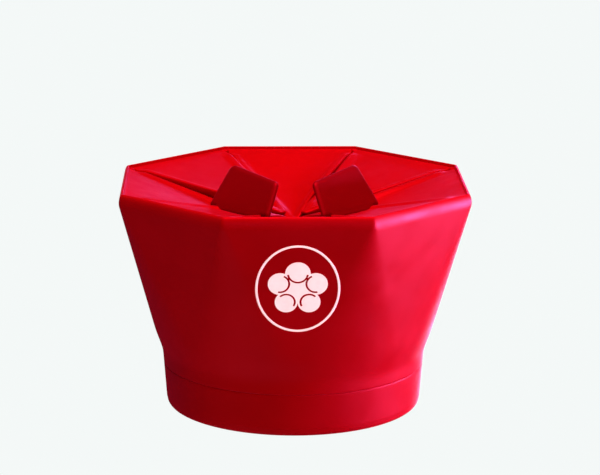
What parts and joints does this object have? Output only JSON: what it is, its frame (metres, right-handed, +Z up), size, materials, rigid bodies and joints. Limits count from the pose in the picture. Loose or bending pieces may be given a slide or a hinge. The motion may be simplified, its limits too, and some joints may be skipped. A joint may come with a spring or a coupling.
{
  "type": "popcorn maker",
  "caption": "Eight-sided silicone microwave popcorn bowl on a round base, closed by triangular folding flaps with raised pull tabs.",
  "frame": {"origin": "centre of the base, on the table", "axes": "+Z up; -Y is the front, with the badge; +X is the right side seen from the front"},
  "size_m": [0.2032, 0.2032, 0.1446],
  "materials": {
    "silicone_bowl": "satin moulded silicone, opaque red",
    "silicone_base": "satin moulded silicone, opaque red, a little firmer",
    "silicone_flap": "satin moulded silicone, slightly translucent red",
    "silicone_tab": "satin moulded silicone, opaque red",
    "badge_ink": "matte cream silicone ink"
  },
  "bodies": {
    "bowl": {"base_dish": "silicone_base", "bowl_wall": "silicone_bowl", "rim_band": "silicone_bowl", "badge_ring": "badge_ink", "badge_kernel": "badge_ink"},
    "front_flap": {"flap_front": "silicone_flap"},
    "front_right_flap": {"flap_front_right": "silicone_flap"},
    "right_flap": {"flap_right": "silicone_flap"},
    "back_right_flap": {"flap_back_right": "silicone_flap"},
    "back_flap": {"flap_back": "silicone_flap"},
    "back_left_flap": {"flap_back_left": "silicone_flap"},
    "left_flap": {"flap_left": "silicone_flap"},
    "front_left_flap": {"flap_front_left": "silicone_flap"},
    "tab_left": {"tab_left": "silicone_tab"},
    "tab_right": {"tab_right": "silicone_tab"}
  },
  "joints": [
    {"name": "front_fold", "type": "hinge", "parent": "bowl", "child": "front_flap", "pos_m": [0, -0.09623, 0.13], "axis": [1, 0, 0], "range_deg": [0, 105]},
    {"name": "front_right_fold", "type": "hinge", "parent": "bowl", "child": "front_right_flap", "pos_m": [0.06804, -0.06804, 0.13], "axis": [0.7071, 0.7071, 0], "range_deg": [0, 105]},
    {"name": "right_fold", "type": "hinge", "parent": "bowl", "child": "right_flap", "pos_m": [0.09623, 0, 0.13], "axis": [0, 1, 0], "range_deg": [0, 105]},
    {"name": "back_right_fold", "type": "hinge", "parent": "bowl", "child": "back_right_flap", "pos_m": [0.06804, 0.06804, 0.13], "axis": [-0.7071, 0.7071, 0], "range_deg": [0, 105]},
    {"name": "back_fold", "type": "hinge", "parent": "bowl", "child": "back_flap", "pos_m": [0, 0.09623, 0.13], "axis": [-1, 0, 0], "range_deg": [0, 105]},
    {"name": "back_left_fold", "type": "hinge", "parent": "bowl", "child": "back_left_flap", "pos_m": [-0.06804, 0.06804, 0.13], "axis": [-0.7071, -0.7071, 0], "range_deg": [0, 105]},
    {"name": "left_fold", "type": "hinge", "parent": "bowl", "child": "left_flap", "pos_m": [-0.09623, 0, 0.13], "axis": [0, -1, 0], "range_deg": [0, 105]},
    {"name": "front_left_fold", "type": "hinge", "parent": "bowl", "child": "front_left_flap", "pos_m": [-0.06804, -0.06804, 0.13], "axis": [0.7071, -0.7071, 0], "range_deg": [0, 105]},
    {"name": "tab_left_flex", "type": "hinge", "parent": "front_left_flap", "child": "tab_left", "pos_m": [-0.03125, -0.03125, 0.12241], "axis": [0.7071, -0.7071, 0], "range_deg": [-66, 20], "stiffness_Nm_per_rad": 0.02},
    {"name": "tab_right_flex", "type": "hinge", "parent": "front_right_flap", "child": "tab_right", "pos_m": [0.03125, -0.03125, 0.12241], "axis": [0.7071, 0.7071, 0], "range_deg": [-66, 20], "stiffness_Nm_per_rad": 0.02}
  ],
  "couplings": [
    {"joint": "left_fold", "follows": "front_left_fold", "ratio": 1},
    {"joint": "front_fold", "follows": "front_left_fold", "ratio": 1},
    {"joint": "right_fold", "follows": "front_left_fold", "ratio": 1},
    {"joint": "front_right_fold", "follows": "front_left_fold", "ratio": 1}
  ]
}
